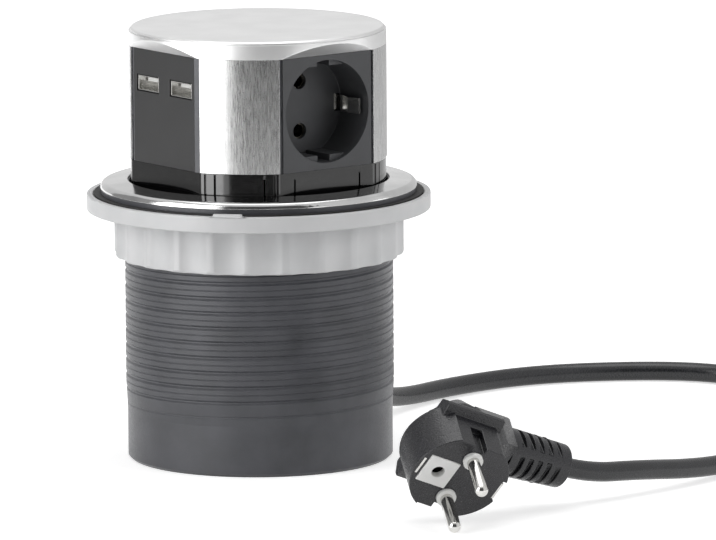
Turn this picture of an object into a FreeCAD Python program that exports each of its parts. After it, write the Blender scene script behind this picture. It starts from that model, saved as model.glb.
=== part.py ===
import FreeCAD, Part
import math
import os
from FreeCAD import Vector

# Pop-up worktop socket tower, in millimetres, standing upright and pulled out.
# +Z is up and the origin is on the tube's bottom edge, on its axis.
# The front socket faces -Y, the second +X, the third +Y, and the USB face is at -X.

# Threaded tube that hangs in the worktop
tube_height = 106.3
tube_r = 50.5
tube_wall = 1.2
tube_edge_round = 1.2
flange_out = 9.4
flange_thick = 4.3
cover_seat_wall = 2.9
cover_seat_deep = 0.6
seat_ledge_reach = 5.6
seat_ledge_thick = 3.0

# Thread on the tube, right-handed, one start
thread_high = 0.6
thread_pitch = 5.7
thread_low = 19.2
thread_run_in = 11.0
groove_mouth = 1.9
groove_floor = 0.5
groove_over = 0.4
score_mouth = 0.6  # the fine line that runs halfway between the groove's turns
score_floor = 0.1
score_deep = 0.2
score_after_turns = 1.5
score_short_turns = 2

# Bottom cover and its screws
cover_thick = 2.4
cover_gap = 0.1
cover_screw_azimuths = (75, 165, 255, 345)
cover_screw_short = 0.2
cover_screw_r = 1.4
screw_gap = 0.15
screw_head_r = 2.6
screw_head_thick = 1.8
recess_reach = 0.6  # the cross recess, as shares of the head's radius and thickness
recess_width = 0.14
recess_deep = 0.55

# Steel trim ring and the seal under the flange
trim_opening_out = 0.5
trim_past_flange = 0.35
trim_fall = 0.9
trim_roll = 2.2
trim_sheet = 0.8
trim_drop = 3.3
trim_lip_round = 0.35
gasket_from_crest = 0.8
gasket_past_crest = 5.3
gasket_thick = 0.8

# Pressure ring and ring nut below the worktop
ring_rim_from_trim = 2.75
ring_rim_wall = 2.5
ring_web_thick = 2.5
ring_rim_up = 0.8
ring_skirt_down = 2.9
ring_tab_width = 11.0
ring_tab_up = 1.0
ring_tab_azimuth = -137.0
ring_rib_count = 12
ring_rib_width = 1.8
ring_rib_from_nut = 1.0
seat_gap = 0.3
crest_gap = 0.3
nut_height = 20.5
nut_wall = 3.85
nut_flute_count = 24
nut_flute_turn = 4.0
nut_flute_deep = 1.8
nut_ridge_width = 3.0
nut_gap = 0.1
nut_ridge_crown = 0.2
nut_chamfer = 0.5
nut_foot_bevel = 0.9
nut_lead_in = 1.2
nut_thread_turns = 2
thread_gap = 0.25

# Sliding tower
tower_gap = 0.3
panel_height = 43.4
panel_width = 41.4
panel_side = 0.86
usb_panel_width = 38.4
collar_show = 9.1
cap_height = 5.5
disc_thick = 1.2
disc_in = 0.6
disc_bevel = 0.7
facet_rise = 4.7
cap_wall = 2.0
cap_roof = 1.6
strip_thick = 0.9
strip_side = 1.39

# Collar below the panels, with its spring tongues
collar_inset = 0.4
collar_wall = 2.0
collar_deck = 2.4
collar_foot_gap = 0.4
collar_foot_height = 5.7
slit_width = 0.8
slit_from_foot = 0.6
slit_from_top = 0.5
shallow_slit = 1.2
corner_slits_in = (7.0, 2.4)
flat_slit_in = 5.5
latch_nib = 0.2
nib_root = 0.2
nib_half_width = 5.0
nib_above_block = 0.4
nib_nose = 0.2
nib_back = 1.8
lower_cover_thick = 2.0
lower_lug_width = 8.0
lower_lug_thick = 3.0
lead_bush_wall = 2.2
lead_bush_down = 3.0
lead_bush_up = 6.0

# Guide blocks that fill the gap between the bore and the tower's flats
block_gap = 0.4
block_width = 37.0
block_height = 6.0
block_below_top = 6.3
block_peg_r = 1.6
block_peg_length = 2.8

# Inner frame of the tower
post_deep = 9.0
rib_thick = 2.4
rib_start = 10.0
rib_into_post = 2.0
rib_below_top = 2.0
riser_room = 1.4
riser_side_room = 0.8
base_plate_half = 23.0
base_plate_thick = 0.9
tie_screw_r = 1.5
tie_screw_head_r = 2.4
tie_screw_head = 2.4
tie_screw_bite = 3.5
part_gap = 0.1
join_lap = 0.5
cut_past = 1.0

# Grounded two-pin socket with side contacts
well_r = 19.5
well_deep = 17.5
well_wall = 1.4
well_floor = 1.5
face_thick = 2.5
pin_spacing = 19.0
pin_hole_r = 2.95
key_flat_at = 16.9
key_slot_width = 5.6
key_set_back = 2.6
sleeve_r = 3.4
sleeve_bore_r = 2.5
sleeve_from_axis = 7.5
sleeve_split = 1.0
sleeve_solid = 3.0
chamber_half_width = 6.0
chamber_half_height = 11.0
strap_width = 6.0
strap_thick = 0.8
strap_at = 18.6
strap_bulge = 2.0
strap_gap = 0.3
strap_tip_in = 3.4
strap_tip_back = 0.4
strap_bow_in = 8.0
strap_bend_from = 5.0
bus_thick = 0.8
bus_width = 6.0
riser_x = -9.8
riser_width = 4.0
riser_pitch = 5.5
riser_stand = 5.0
bus_short = 4.0

# USB side
usb_pitch = 21.0
usb_above_centre = 8.5
usb_window_width = 13.9
usb_window_height = 6.4
usb_shell_width = 13.1
usb_shell_height = 5.7
usb_shell_deep = 13.6
usb_shell_wall = 0.4
usb_shell_in = 0.4
usb_shell_back = 1.2
usb_tongue_width = 10.8
usb_tongue_height = 1.8
usb_tongue_deep = 8.6
usb_tongue_up = 0.2
usb_tongue_root = 2.0
usb_panel_thick = 2.0
board_thick = 1.6
board_half_width = 17.0
board_height = 36.0
board_drop = 0.5
board_screw_spacing_y = 31.0
board_screw_spacing_z = 32.0
board_boss_r = 2.6
board_screw_r = 1.0
board_screw_head_r = 2.0
board_screw_head = 1.2
board_screw_bite = 5.0
board_pilot_room = 2.0
transformer_deep = 12.0
transformer_width = 16.0
transformer_height = 14.0
transformer_below = 6.0
transformer_core_in = 2.0
transformer_coil_in = 1.5
transformer_coil_side = 3.0
capacitor_r = 4.0
capacitor_length = 11.5
capacitor_above = 10.0
capacitor_gap = 0.7
usb_lead_r = 0.9
usb_lead_above = 5.0
usb_lead_below = 15.6

# Terminal block under the collar's deck
terminal_deep = 12.0
terminal_wide = 19.0
terminal_high = 11.8
terminal_screw_r = 1.2
terminal_screw_head_r = 1.9
terminal_screw_head = 1.4
terminal_screw_in = 0.4
terminal_screw_short = 0.6
terminal_screw_up = 8.0
terminal_hole_r = 1.4
terminal_hole_deep = 5.0
terminal_slot_under = 0.2

# Mains cord, its gland and its clamp
cord_r = 3.75
cord_length = 1500.0
gland_azimuth = 23.0
gland_z = 10.0
gland_neck_r = 5.2
gland_flange_r = 7.4
gland_flange_thick = 2.4
gland_tip_r = 4.7
gland_length = 24.0
gland_inside = 4.0
gland_barrel = 1.6
gland_rib_count = 5
gland_rib_deep = 0.5
gland_ledge = 0.9
gland_stand = 0.1
gland_root_in = 1.2
clamp_from_ledge = 11.0
clamp_half_length = 5.0
clamp_wall = 3.0
clamp_split = 0.3
clamp_screw_r = 1.3
clamp_screw_short = 1.0
inner_lead_r = 3.25
lead_knee = 17.0
lead_points = [Vector(-19.0, -5.0, 24.0), Vector(-21.0, -3.0, 55.0)]
lead_last_rise = 13.0

# Angled plug lying on the floor: where its face is, and which way it points
plug_face_at = Vector(-34.2, -168.8, 18.45)
plug_outlet_way = Vector(0.9127, -0.1770, -0.3684)
plug_pin_line_way = Vector(0.1945, -0.6047, 0.7723)
plug_r = 18.7
plug_front_deep = 19.5
plug_rim_notch = 2.2
plug_rim_notch_floor = 3.0
plug_rim_notch_room = 1.0
plug_flat_at = 16.0
plug_flat_from = -8.5
plug_ledge_at = 19.0
plug_ledge_front = 15.2
plug_ledge_half = 12.4
plug_ledge_fall = 1.2
plug_ledge_thick = 3.0
plug_ledge_in = 1.0
plug_back_deep = 36.0
plug_back_half = 9.5
plug_back_corner = 4.0
plug_heel_up = 2.0
plug_slope_from = -15.0
plug_slope_to = 5.0
plug_slope_below = 0.5
plug_pin_r = 2.4
plug_pin_length = 19.0
plug_collar_r = 3.7
plug_collar_high = 1.2
plug_collar_deep = 2.7
plug_pin_root_r = 2.0
plug_pin_root_deep = 10.0
plug_plate_x = -9.4
plug_plate_half = 6.2
plug_plate_deep = 2.4
plug_plate_proud = 0.5
plug_earth_bore_r = 2.5  # the same through the plate and the sleeve behind it
plug_sleeve_wall = 0.4
plug_sleeve_low = -17.5
plug_sleeve_top = -2.5
plug_sleeve_floor = 1.5
plug_clip_width = 7.5
plug_clip_at = 17.3
plug_clip_thick = 0.9
plug_clip_low = 18.3
plug_clip_in = 0.3
plug_key_width = 5.0
plug_key_deep = 2.4
plug_key_long = 11.0
plug_root_from = 8.0
plug_root_top = 8.0
plug_root_low = 3.0
plug_root_corner = (1.0, 3.0)
neck_room = 0.6
neck_start = 24.0
neck_axis_deep = 26.5
neck_length = 27.5
neck_tilt = 6.0
neck_start_r = 9.3
neck_end_r = 8.3
neck_slot_from = 4.0
neck_slot_reach = 0.52  # half a slot's length, as a share of the neck's radius
neck_slot_count = 5
neck_slot_pitch = 4.2
neck_slot_width = 1.9
neck_slot_deep = 2.2

# Cord route between its fixed ends, as it lies on the floor
cord_out_first_run = 13.0
cord_out_points = [
    Vector(99.5, 44.0, 4.6), Vector(137.9, 57.6, cord_r), Vector(177.8, 58.2, cord_r),
    Vector(214.3, 40.1, cord_r), Vector(234.8, 18.9, cord_r), Vector(239.5, -7.5, cord_r),
    Vector(230.3, -31.4, cord_r)]
cord_out_last_run = 29.0
cord_in_first_run = 19.0
cord_in_points = [
    Vector(147.0, -130.6, 6.2), Vector(122.8, -142.9, cord_r), Vector(91.6, -150.8, 5.2),
    Vector(60.5, -155.4, 9.0)]
cord_in_last_run = 13.0

# Coil of the cord's put-away length
coil_at = Vector(220.7, -122.5, 0)
coil_outer_r = 48.2
coil_step = 8.2
coil_turns = 4
coil_layer = 8.0
coil_start_azimuth = 143.0
tie_width = 6.0
tie_thick = 0.8
tie_azimuth = -40.0
tie_gap = 0.4

# Radii, heights and reaches that follow from the sizes above
tube_bore_r = tube_r - tube_wall
thread_crest_r = tube_r + thread_high
flange_r = tube_r + flange_out
cover_seat_r = tube_r - cover_seat_wall
seat_ledge_r = cover_seat_r - seat_ledge_reach
cover_screw_ring_r = (cover_seat_r + seat_ledge_r) / 2
clamp_radius_at = seat_ledge_r - clamp_from_ledge
trim_opening_r = tube_bore_r + trim_opening_out
trim_outer_r = flange_r + trim_past_flange
trim_roll_at = trim_outer_r - trim_roll
trim_skirt_r = trim_outer_r - trim_sheet
gasket_inner_r = thread_crest_r + gasket_from_crest
gasket_outer_r = gasket_inner_r + gasket_past_crest
ring_rim_r = trim_outer_r + ring_rim_from_trim
ring_outer_r = ring_rim_r + ring_rim_wall
nut_bore_r = thread_crest_r + crest_gap
nut_ridge_r = nut_bore_r + nut_wall
tower_r = tube_bore_r - tower_gap
flat_at = math.sqrt(tower_r ** 2 - (panel_width / 2 + panel_side) ** 2)
strip_from_flat = math.degrees(math.asin((panel_width / 2 + strip_side) / tower_r))
corner_slits = [45 - strip_from_flat - inward for inward in corner_slits_in]
flat_slit_at = panel_width / 2 - flat_slit_in
disc_r = tower_r - disc_in
cap_cavity_r = flat_at - cap_wall
collar_foot_r = tube_bore_r - collar_foot_gap
post_inner_r = tower_r - post_deep
post_at = (post_inner_r + tower_r - strip_thick) / 2 / math.sqrt(2)
flange_low = tube_height - flange_thick
trim_low = tube_height + part_gap + trim_sheet - trim_drop
gasket_low = flange_low - gasket_thick
web_top = gasket_low - seat_gap
web_low = web_top - ring_web_thick
nut_top = web_low - nut_gap
nut_low = nut_top - nut_height
thread_turns = math.floor((nut_top - thread_low) / thread_pitch)
nut_thread_low = thread_low + math.ceil((nut_low - thread_low) / thread_pitch) * thread_pitch
panel_low = tube_height + collar_show
panel_top = panel_low + panel_height
cap_top = panel_top + cap_height
centre_z = panel_low + panel_height / 2 + 0.2
collar_top = panel_low
block_top = tube_height - block_below_top
block_low = block_top - block_height
foot_top = block_low - seat_gap
foot_low = foot_top - collar_foot_height
collar_r = tower_r - collar_inset
collar_flat = flat_at - collar_inset
deck_low = collar_top - collar_deck
ledge_low = cover_seat_deep + cover_thick
floor_back = flat_at - well_deep - well_floor
sleeve_length = floor_back - part_gap - sleeve_from_axis
coil_low = cord_r + tie_thick + part_gap
up = Vector(0, 0, 1)
quarters = (0, 90, 180, 270)
socket_turns = (0, 90, 180)


def box(x0, x1, y0, y1, z0, z1):
    """A block between two corners."""
    return Part.makeBox(x1 - x0, y1 - y0, z1 - z0, Vector(x0, y0, z0))


def disc(r, z0, z1, x=0.0, y=0.0):
    """An upright cylinder."""
    return Part.makeCylinder(r, z1 - z0, Vector(x, y, z0))


def hoop(r_in, r_out, z0, z1):
    """A plain ring around the axis."""
    return disc(r_out, z0, z1).cut(disc(r_in, z0 - 1, z1 + 1))


def turned(points):
    """A solid of revolution around Z from (radius, height) corners."""
    corners = [Vector(r, 0, z) for r, z in points]
    face = Part.Face(Part.makePolygon(corners + corners[:1]))
    return face.revolve(Vector(0, 0, 0), up, 360)


def squared(r, flat, z0, z1):
    """The tower's section: a circle with four flats."""
    return disc(r, z0, z1).common(box(-flat, flat, -flat, flat, z0, z1))


def joined(shapes):
    """One solid from overlapping ones."""
    return shapes[0].multiFuse(shapes[1:]).removeSplitter()


def group(shapes):
    """Separate solids that share one node."""
    return Part.makeCompound(shapes)


def spun(shape, degrees):
    """A copy turned around the tower's axis."""
    copy = shape.copy()
    copy.rotate(Vector(0, 0, 0), up, degrees)
    return copy


def around(shape, angles):
    """Copies of a shape at several azimuths."""
    return [spun(shape, angle) for angle in angles]


def wedge(polygon, axis, low, high):
    """A prism from 2-D corners: axis x takes (y, z), axis y (x, z) and axis z (x, y)."""
    place = {"x": lambda a, b: Vector(low, a, b), "y": lambda a, b: Vector(a, low, b),
             "z": lambda a, b: Vector(a, b, low)}[axis]
    along = {"x": Vector(1, 0, 0), "y": Vector(0, 1, 0), "z": up}[axis]
    corners = [place(a, b) for a, b in polygon]
    return Part.Face(Part.makePolygon(corners + corners[:1])).extrude(along * (high - low))


def screw(r, head_r, head, length, at, way):
    """A screw from the top of its head, pointing along way, with a cross recess."""
    way = Vector(way).normalize()
    body = Part.makeCylinder(head_r, head, at, way).fuse(
        Part.makeCylinder(r, length, at, way))
    side = way.cross(Vector(0, 0, 1) if abs(way.z) < 0.9 else Vector(1, 0, 0)).normalize()
    other = way.cross(side)
    for a, b in ((side, other), (other, side)):
        half, thin = head_r * recess_reach, head_r * recess_width
        start = at - a * half - b * thin - way * part_gap
        corners = [start, start + a * 2 * half, start + a * 2 * half + b * 2 * thin,
                   start + b * 2 * thin, start]
        slot = Part.Face(Part.makePolygon(corners)).extrude(way * (head * recess_deep + part_gap))
        body = body.cut(slot)
    return body


def thread_ridge(first_z, turns, low_r, high_r, half_low, half_high):
    """A helical band whose half width grows in a line from low_r to high_r."""
    path = Part.makeHelix(thread_pitch, thread_pitch * turns, low_r)
    path.translate(Vector(0, 0, first_z))
    corners = [Vector(low_r, 0, first_z - half_low), Vector(high_r, 0, first_z - half_high),
               Vector(high_r, 0, first_z + half_high), Vector(low_r, 0, first_z + half_low)]
    profile = Part.makePolygon(corners + corners[:1])
    return Part.Wire(path).makePipeShell([profile], True, True)


def groove_half(r):
    """Half the groove's width at a radius."""
    slope = (groove_mouth - groove_floor) / 2 / (thread_crest_r - tube_r)
    return groove_floor / 2 + slope * (r - tube_r)


# Housing

def threaded_tube():
    step_z = trim_low - part_gap
    shoulder_r = trim_roll_at - trim_sheet / 2
    outer = turned([(0, 0), (tube_r - tube_edge_round, 0), (tube_r, tube_edge_round),
                    (tube_r, thread_low), (thread_crest_r, thread_low + thread_run_in),
                    (thread_crest_r, flange_low), (flange_r, flange_low), (flange_r, step_z),
                    (trim_skirt_r - part_gap, step_z), (shoulder_r, tube_height - trim_fall),
                    (trim_opening_r, tube_height), (0, tube_height)])
    bore = disc(tube_bore_r, ledge_low + seat_ledge_thick, tube_height + cut_past)
    neck = disc(seat_ledge_r, -cut_past, tube_height)
    seat = disc(cover_seat_r, -cut_past, ledge_low)
    tube = outer.cut(bore).cut(neck).cut(seat)
    clear = thread_crest_r + groove_over
    groove = thread_ridge(thread_low, thread_turns, tube_r, clear,
                          groove_half(tube_r), groove_half(clear))
    score = thread_ridge(thread_low + score_after_turns * thread_pitch, thread_turns - score_short_turns,
                         thread_crest_r - score_deep, thread_crest_r + score_deep,
                         score_floor / 2, score_mouth - score_floor / 2)
    tube = tube.cut(groove).cut(score)
    for x, y in cover_screw_places():
        tube = tube.cut(disc(cover_screw_r + part_gap / 2, -cut_past,
                             ledge_low + seat_ledge_thick + cut_past, x, y))
    peg_hole = Part.makeCylinder(block_peg_r + part_gap, block_peg_length,
                                 Vector(0, -tube_bore_r + cut_past, peg_z()), Vector(0, -1, 0))
    for hole in around(peg_hole, quarters):
        tube = tube.cut(hole)
    gland_hole = Part.makeCylinder(gland_neck_r, 2 * gland_inside, Vector(tube_bore_r - cut_past, 0, gland_z),
                                   Vector(1, 0, 0))
    barrel_room = Part.makeCylinder(gland_neck_r + gland_barrel + part_gap, 3 * gland_inside,
                                    Vector(tube_bore_r - 3 * gland_inside, 0, gland_z), Vector(1, 0, 0))
    room = gland_hole.fuse(barrel_room.common(disc(tube_bore_r, 0, tube_height)))
    return tube.cut(spun(room, gland_azimuth))


def peg_z():
    return block_low + block_height / 2


def cover_screw_places():
    places = []
    for azimuth in cover_screw_azimuths:
        turn = math.radians(azimuth)
        places.append((cover_screw_ring_r * math.cos(turn), cover_screw_ring_r * math.sin(turn)))
    return places


def bottom_cover():
    """A disc in the tube's foot with the lower half of the cord clamp."""
    cover = disc(cover_seat_r - cover_gap, cover_seat_deep, ledge_low)
    for x, y in cover_screw_places():
        cover = cover.cut(disc(cover_screw_r + screw_gap, -cut_past, tube_height, x, y))
        cover = cover.cut(disc(screw_head_r + screw_gap, -cut_past, cover_seat_deep + screw_head_thick,
                               x, y))
    saddle = box(clamp_radius_at - clamp_half_length, clamp_radius_at + clamp_half_length,
                 -clamp_span() / 2, clamp_span() / 2, ledge_low, gland_z - clamp_split)
    solid = cover.fuse(spun(saddle, gland_azimuth)).cut(lead_way())
    for screw_hole in clamp_screw_axes(clamp_screw_r + part_gap / 2, ledge_low, tube_height):
        solid = solid.cut(screw_hole)
    return solid


def clamp_span():
    return 2 * (inner_lead_r + clamp_wall * 2)


def lead_way():
    """The straight channel that the lead takes through the clamp."""
    return spun(Part.makeCylinder(inner_lead_r, tube_r, Vector(0, 0, gland_z), Vector(1, 0, 0)),
                gland_azimuth)


def clamp_screw_axes(r, z0, z1):
    side = inner_lead_r + clamp_wall
    return [spun(disc(r, z0, z1, clamp_radius_at, y), gland_azimuth) for y in (-side, side)]


def cord_clamp():
    """The bar that holds the lead down on the bottom cover."""
    top = gland_z + inner_lead_r + clamp_wall
    bar = box(clamp_radius_at - clamp_half_length, clamp_radius_at + clamp_half_length,
              -clamp_span() / 2, clamp_span() / 2, gland_z + clamp_split, top)
    bar = spun(bar, gland_azimuth).cut(lead_way())
    for hole in clamp_screw_axes(clamp_screw_r + screw_gap, 0, tube_height):
        bar = bar.cut(hole)
    return bar


def clamp_screws():
    top = gland_z + inner_lead_r + clamp_wall + screw_head_thick
    side = inner_lead_r + clamp_wall
    made = []
    for y in (-side, side):
        made.append(spun(screw(clamp_screw_r, screw_head_r, screw_head_thick,
                               top - ledge_low - clamp_screw_short,
                               Vector(clamp_radius_at, y, top), Vector(0, 0, -1)), gland_azimuth))
    return group(made)


def cover_screws():
    return group([screw(cover_screw_r, screw_head_r, screw_head_thick,
                        ledge_low + seat_ledge_thick - cover_seat_deep - cover_screw_short,
                        Vector(x, y, cover_seat_deep), up)
                  for x, y in cover_screw_places()])


def trim_ring():
    """A pressed steel ring: a sloped lip, then a round shoulder that ends in a short skirt."""
    top = trim_low + trim_drop
    slope = math.atan(trim_fall / (trim_roll_at - trim_opening_r))
    lip_in = trim_lip_round * (1 - math.sqrt(0.5))
    roll_z = top - trim_fall - trim_roll * math.cos(slope)

    def at(r, z):
        return Vector(r, 0, z)

    def line(start, end):
        return Part.LineSegment(start, end)

    def on_roll(radius, turn):
        return at(trim_roll_at + radius * math.sin(turn), roll_z + radius * math.cos(turn))

    def arc(radius):
        return Part.Arc(on_roll(radius, slope), on_roll(radius, (slope + math.pi / 2) / 2),
                        on_roll(radius, math.pi / 2))

    under = at(trim_opening_r, top - trim_sheet)
    lip_side, lip_top = at(trim_opening_r, top - trim_lip_round), at(trim_opening_r + trim_lip_round, top)
    inner_roll = trim_roll - trim_sheet
    edges = [
        line(under, lip_side),
        Part.Arc(lip_side, at(trim_opening_r + lip_in, top - lip_in), lip_top),
        line(lip_top, on_roll(trim_roll, slope)),
        arc(trim_roll),
        line(on_roll(trim_roll, math.pi / 2), at(trim_outer_r, trim_low)),
        line(at(trim_outer_r, trim_low), at(trim_skirt_r, trim_low)),
        line(at(trim_skirt_r, trim_low), on_roll(inner_roll, math.pi / 2)),
        arc(inner_roll),
        line(on_roll(inner_roll, slope), under)]
    wire = Part.Wire([edge.toShape() for edge in edges])
    return Part.Face(wire).revolve(Vector(0, 0, 0), up, 360)


def ring_gasket():
    return hoop(gasket_inner_r, gasket_outer_r, gasket_low, flange_low)


def guide_blocks():
    """Four blocks that the tower's flats run along, each pegged into the tube's wall."""
    face = flat_at + block_gap
    segment = disc(tube_bore_r, block_low, block_top).common(
        box(-block_width / 2, block_width / 2, -tube_bore_r, -face, block_low, block_top))
    peg = Part.makeCylinder(block_peg_r, block_peg_length, Vector(0, -tube_bore_r + cut_past, peg_z()),
                            Vector(0, -1, 0))
    return group(around(segment.fuse(peg), quarters))


def pressure_ring():
    """The flanged ring that bears on the worktop's underside, with an upstanding rim."""
    bore_r = nut_bore_r + part_gap
    low = web_low - ring_skirt_down
    web = hoop(bore_r, ring_outer_r, web_low, web_top)
    rim = hoop(ring_rim_r, ring_outer_r, low, web_top + ring_rim_up)
    tab = hoop(ring_rim_r + part_gap, ring_outer_r - part_gap, web_top, web_top + ring_rim_up + ring_tab_up)
    tab = tab.common(box(0, ring_outer_r, -ring_tab_width / 2, ring_tab_width / 2, web_top, tube_height))
    rib = box(nut_ridge_r + ring_rib_from_nut, ring_rim_r + ring_rim_wall / 2,
              -ring_rib_width / 2, ring_rib_width / 2, low, web_top)
    ribs = around(rib, [360 * index / ring_rib_count for index in range(ring_rib_count)])
    return joined([web, rim] + around(tab, (ring_tab_azimuth, ring_tab_azimuth + 180)) + ribs)


def fluted_outline():
    """The nut's outline: shallow scallops between narrow rounded ridges."""
    step = 2 * math.pi / nut_flute_count
    half_ridge = nut_ridge_width / 2 / nut_ridge_r
    shoulder_r = nut_ridge_r - nut_ridge_crown

    def at(radius, turn):
        return Vector(radius * math.cos(turn), radius * math.sin(turn), 0)

    edges = []
    for index in range(nut_flute_count):
        middle = index * step
        start, end = middle + half_ridge, middle + step - half_ridge
        edges.append(Part.Arc(at(shoulder_r, middle - half_ridge), at(nut_ridge_r, middle),
                              at(shoulder_r, start)).toShape())
        edges.append(Part.Arc(at(shoulder_r, start), at(nut_ridge_r - nut_flute_deep, (start + end) / 2),
                              at(shoulder_r, end)).toShape())
    return Part.Wire(edges)


def ring_nut():
    """The fluted nut, with a helical ridge in its bore that runs in the tube's groove."""
    body = Part.Face(fluted_outline()).extrude(Vector(0, 0, nut_height))
    body.rotate(Vector(0, 0, 0), up, nut_flute_turn)
    body.translate(Vector(0, 0, nut_low))
    wide = nut_ridge_r + cut_past
    keep = turned([(0, nut_low), (nut_ridge_r - nut_foot_bevel, nut_low),
                   (wide, nut_low + nut_foot_bevel + cut_past), (wide, nut_top), (0, nut_top)])
    body = body.common(keep).cut(disc(nut_bore_r, nut_low - cut_past, nut_top + cut_past))
    body = body.cut(Part.makeCone(nut_bore_r + nut_lead_in, nut_bore_r, nut_lead_in, Vector(0, 0, nut_low)))
    tip = tube_r + thread_gap
    root = nut_bore_r + nut_chamfer
    ridge = thread_ridge(nut_thread_low, nut_thread_turns, tip, root,
                         groove_half(tip) - thread_gap, groove_half(root) - thread_gap)
    return body.fuse(ridge)


# Tower

def top_cap():
    """The metal cap: round above, with a slanted facet over each flat face."""
    cap = disc(tower_r, panel_top, cap_top)
    cap = cap.cut(disc(cap_cavity_r, panel_top - cut_past, cap_top - cap_roof))
    out = 2 * (tower_r - flat_at)
    facet = wedge([(-flat_at, panel_top), (-flat_at - out, panel_top + 2 * facet_rise),
                   (-flat_at - out, panel_top - cut_past), (-flat_at, panel_top - cut_past)],
                  "x", -tower_r, tower_r)
    cap = cap.cut(group(around(facet, quarters)))
    for x, y in tie_places():
        cap = cap.cut(disc(tie_screw_r + part_gap / 2, panel_top - cut_past,
                           panel_top + tie_screw_bite + seat_gap, x, y))
    return cap


def cap_disc():
    top = cap_top + disc_thick
    return turned([(0, cap_top), (disc_r, cap_top), (disc_r, top - disc_bevel),
                   (disc_r - disc_bevel, top), (0, top)])


def tie_places():
    return [(sx * post_at, sy * post_at) for sx in (-1, 1) for sy in (-1, 1)]


def inner_frame():
    """Four corner posts behind the metal strips, diagonal ribs and a base plate."""
    inner = panel_width / 2 + part_gap
    usb_inner = usb_panel_width / 2 + part_gap
    wall = disc(tower_r - strip_thick - part_gap, panel_low, panel_top).cut(
        disc(post_inner_r, panel_low - cut_past, panel_top + cut_past))
    posts = [wall.common(box(inner, flat_at, inner, flat_at, panel_low, panel_top)),
             wall.common(box(inner, flat_at, -flat_at, -inner, panel_low, panel_top)),
             wall.common(box(-flat_at, -inner, usb_inner, flat_at, panel_low, panel_top)),
             wall.common(box(-flat_at, -inner, -flat_at, -usb_inner, panel_low, panel_top))]
    rib = box(rib_start * math.sqrt(2), post_inner_r + rib_into_post, -rib_thick / 2, rib_thick / 2,
              panel_low, panel_top - rib_below_top)
    plate = box(-base_plate_half, base_plate_half, -base_plate_half, base_plate_half,
                panel_low, panel_low + base_plate_thick)
    frame = joined(posts + around(rib, (45, 135, 225, 315)) + [plate])
    for x, y in tie_places():
        frame = frame.cut(disc(tie_screw_r + screw_gap, panel_low - cut_past, panel_top + cut_past, x, y))
    well_room = Part.makeCylinder(well_r + well_wall + part_gap, flat_at - floor_back + part_gap,
                                  Vector(0, -flat_at, centre_z), Vector(0, 1, 0))
    frame = frame.cut(group(around(well_room, socket_turns)))
    return frame.cut(riser_way(panel_low - cut_past, panel_low + base_plate_thick + cut_past))


def riser_way(z0, z1):
    """The slot that the three risers drop through."""
    reach = riser_pitch + riser_width / 2 + riser_side_room
    return box(riser_x - riser_room, riser_x + bus_thick + riser_room, -reach, reach, z0, z1)


def metal_strip():
    """One curved sheet between two flat faces."""
    reach = tower_r * 2
    low, high = math.radians(strip_from_flat), math.radians(90 - strip_from_flat)
    sector = wedge([(0, 0), (reach * math.cos(low), reach * math.sin(low)),
                    (reach * math.cos(high), reach * math.sin(high))], "z", panel_low, panel_top)
    return hoop(tower_r - strip_thick, tower_r, panel_low, panel_top).common(sector)


def base_collar():
    """The collar that guides the tower: flats and corners above, a round foot below."""
    shell = squared(collar_r, collar_flat, foot_low, collar_top)
    foot = disc(collar_foot_r, foot_low, foot_top)
    inside = squared(collar_r - collar_wall, collar_flat - collar_wall, foot_low - cut_past, deck_low)
    collar = shell.fuse(foot).cut(inside)
    slit_low, slit_top = foot_top + slit_from_foot, collar_top - slit_from_top
    reach = collar_r + cut_past
    half = slit_width / 2
    deep_slit = box(collar_r - collar_wall - join_lap, reach, -half, half, slit_low, slit_top)
    fine_slit = box(collar_r - collar_wall + shallow_slit, reach, -half, half, slit_low, slit_top)
    cuts = []
    for corner in (45, 135, 225, 315):
        for slit, offset in zip((deep_slit, fine_slit), corner_slits):
            cuts += around(slit, (corner - offset, corner + offset))
    for side in (-1, 1):
        middle = side * flat_slit_at
        slit = box(middle - half, middle + half, -reach, -collar_flat + collar_wall + join_lap,
                   slit_low, deck_low - seat_gap)
        cuts += around(slit, socket_turns)
    collar = collar.cut(group(cuts))
    nib_low = block_top + nib_above_block
    nib = wedge([(-collar_flat + nib_root, nib_low), (-collar_flat - latch_nib, nib_low + nib_nose),
                 (-collar_flat + nib_root, nib_low + nib_nose + nib_back)],
                "x", -nib_half_width, nib_half_width)
    collar = joined([collar] + around(nib, quarters))
    for x, y in tie_places():
        collar = collar.cut(disc(tie_screw_r + screw_gap, deck_low - cut_past, collar_top + cut_past, x, y))
    return collar.cut(riser_way(deck_low - cut_past, collar_top + cut_past))


def lower_cover():
    """The plate that closes the tower from below, with a bush for the lead."""
    inner_r, inner_flat = collar_r - collar_wall - part_gap, collar_flat - collar_wall - part_gap
    plate = squared(inner_r, inner_flat, foot_low, foot_low + lower_cover_thick)
    bush = disc(inner_lead_r + lead_bush_wall, foot_low - lead_bush_down, foot_low + lead_bush_up,
                terminal_x(), 0)
    hole = disc(inner_lead_r + seat_gap, foot_low - 2 * lead_bush_down, foot_low + 2 * lead_bush_up,
                terminal_x(), 0)
    lug = box(inner_flat - lower_lug_thick, inner_flat, -lower_lug_width / 2, lower_lug_width / 2,
              foot_low, deck_low)
    return joined([plate, bush] + around(lug, (90, 270))).cut(hole)


def tie_screws():
    length = panel_top + tie_screw_bite - deck_low + tie_screw_head
    return group([screw(tie_screw_r, tie_screw_head_r, tie_screw_head, length,
                        Vector(x, y, deck_low - tie_screw_head), up) for x, y in tie_places()])


def along_y(r, y0, y1, z, x=0.0):
    """A cylinder along Y."""
    return Part.makeCylinder(r, y1 - y0, Vector(x, y0, z), Vector(0, 1, 0))


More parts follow.
